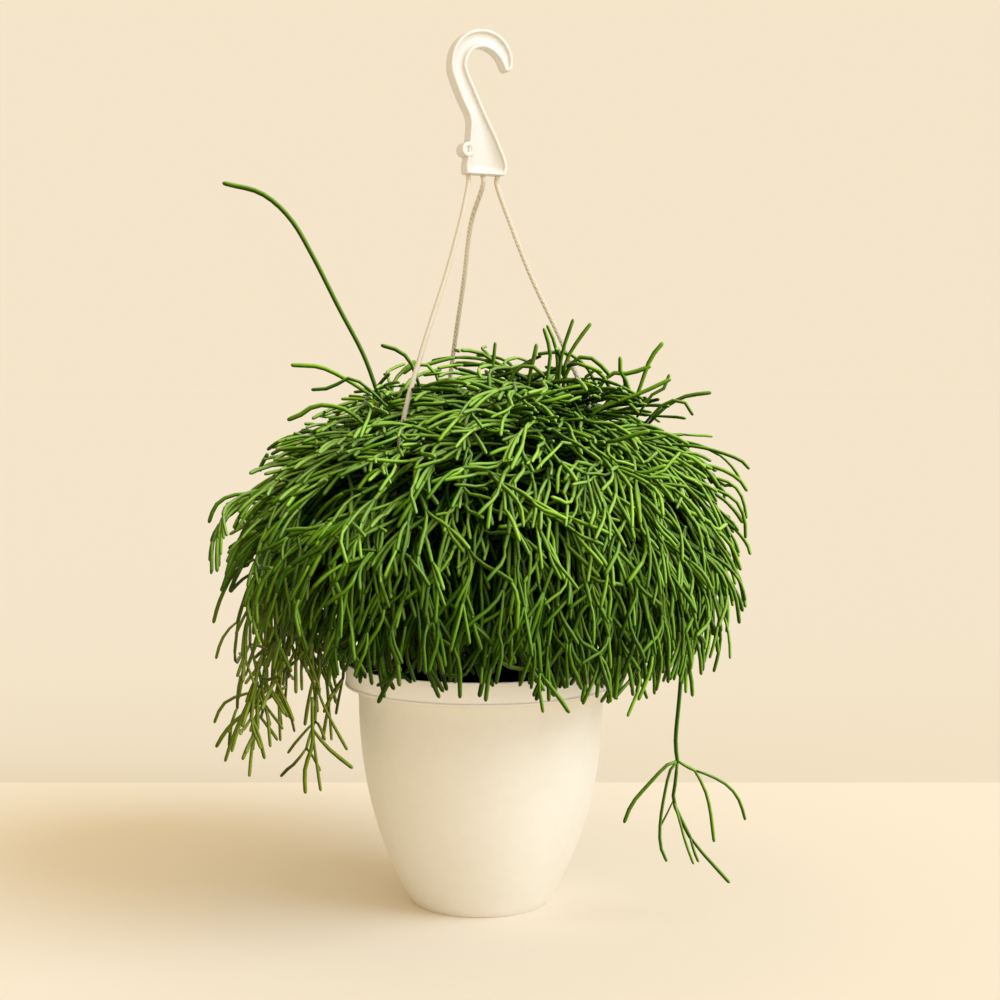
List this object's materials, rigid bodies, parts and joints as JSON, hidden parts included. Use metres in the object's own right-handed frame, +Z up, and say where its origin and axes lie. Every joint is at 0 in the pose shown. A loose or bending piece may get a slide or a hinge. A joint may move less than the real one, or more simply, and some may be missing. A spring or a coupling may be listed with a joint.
{
  "type": "potted mistletoe cactus",
  "caption": "Mistletoe cactus of leafless, jointed green stems that arch and trail out of a round plastic hanging pot with a hook and arms.",
  "frame": {"origin": "centre of the pot's foot, on the surface that it stands on", "axes": "+Z up through the pot's axis to the hook, -Y towards the side seen in the picture"},
  "size_m": [0.3023, 0.3033, 0.4765],
  "materials": {
    "pot_plastic": "satin",
    "hanger_plastic": "satin",
    "peat": "matte",
    "stem_green": "satin"
  },
  "bodies": {
    "root": {"pot": "pot_plastic", "soil": "peat", "hanger_hook": "hanger_plastic", "hanger_arm_right": "hanger_plastic", "hanger_arm_back": "hanger_plastic", "hanger_arm_left": "hanger_plastic", "stems_crown": "stem_green", "stems_01": "stem_green", "stems_02": "stem_green", "stems_03": "stem_green", "stems_04": "stem_green", "stems_05": "stem_green", "stems_06": "stem_green", "stems_07": "stem_green", "stems_08": "stem_green", "stems_09": "stem_green", "stems_10": "stem_green", "stems_11": "stem_green", "stems_12": "stem_green"}
  },
  "joints": []
}
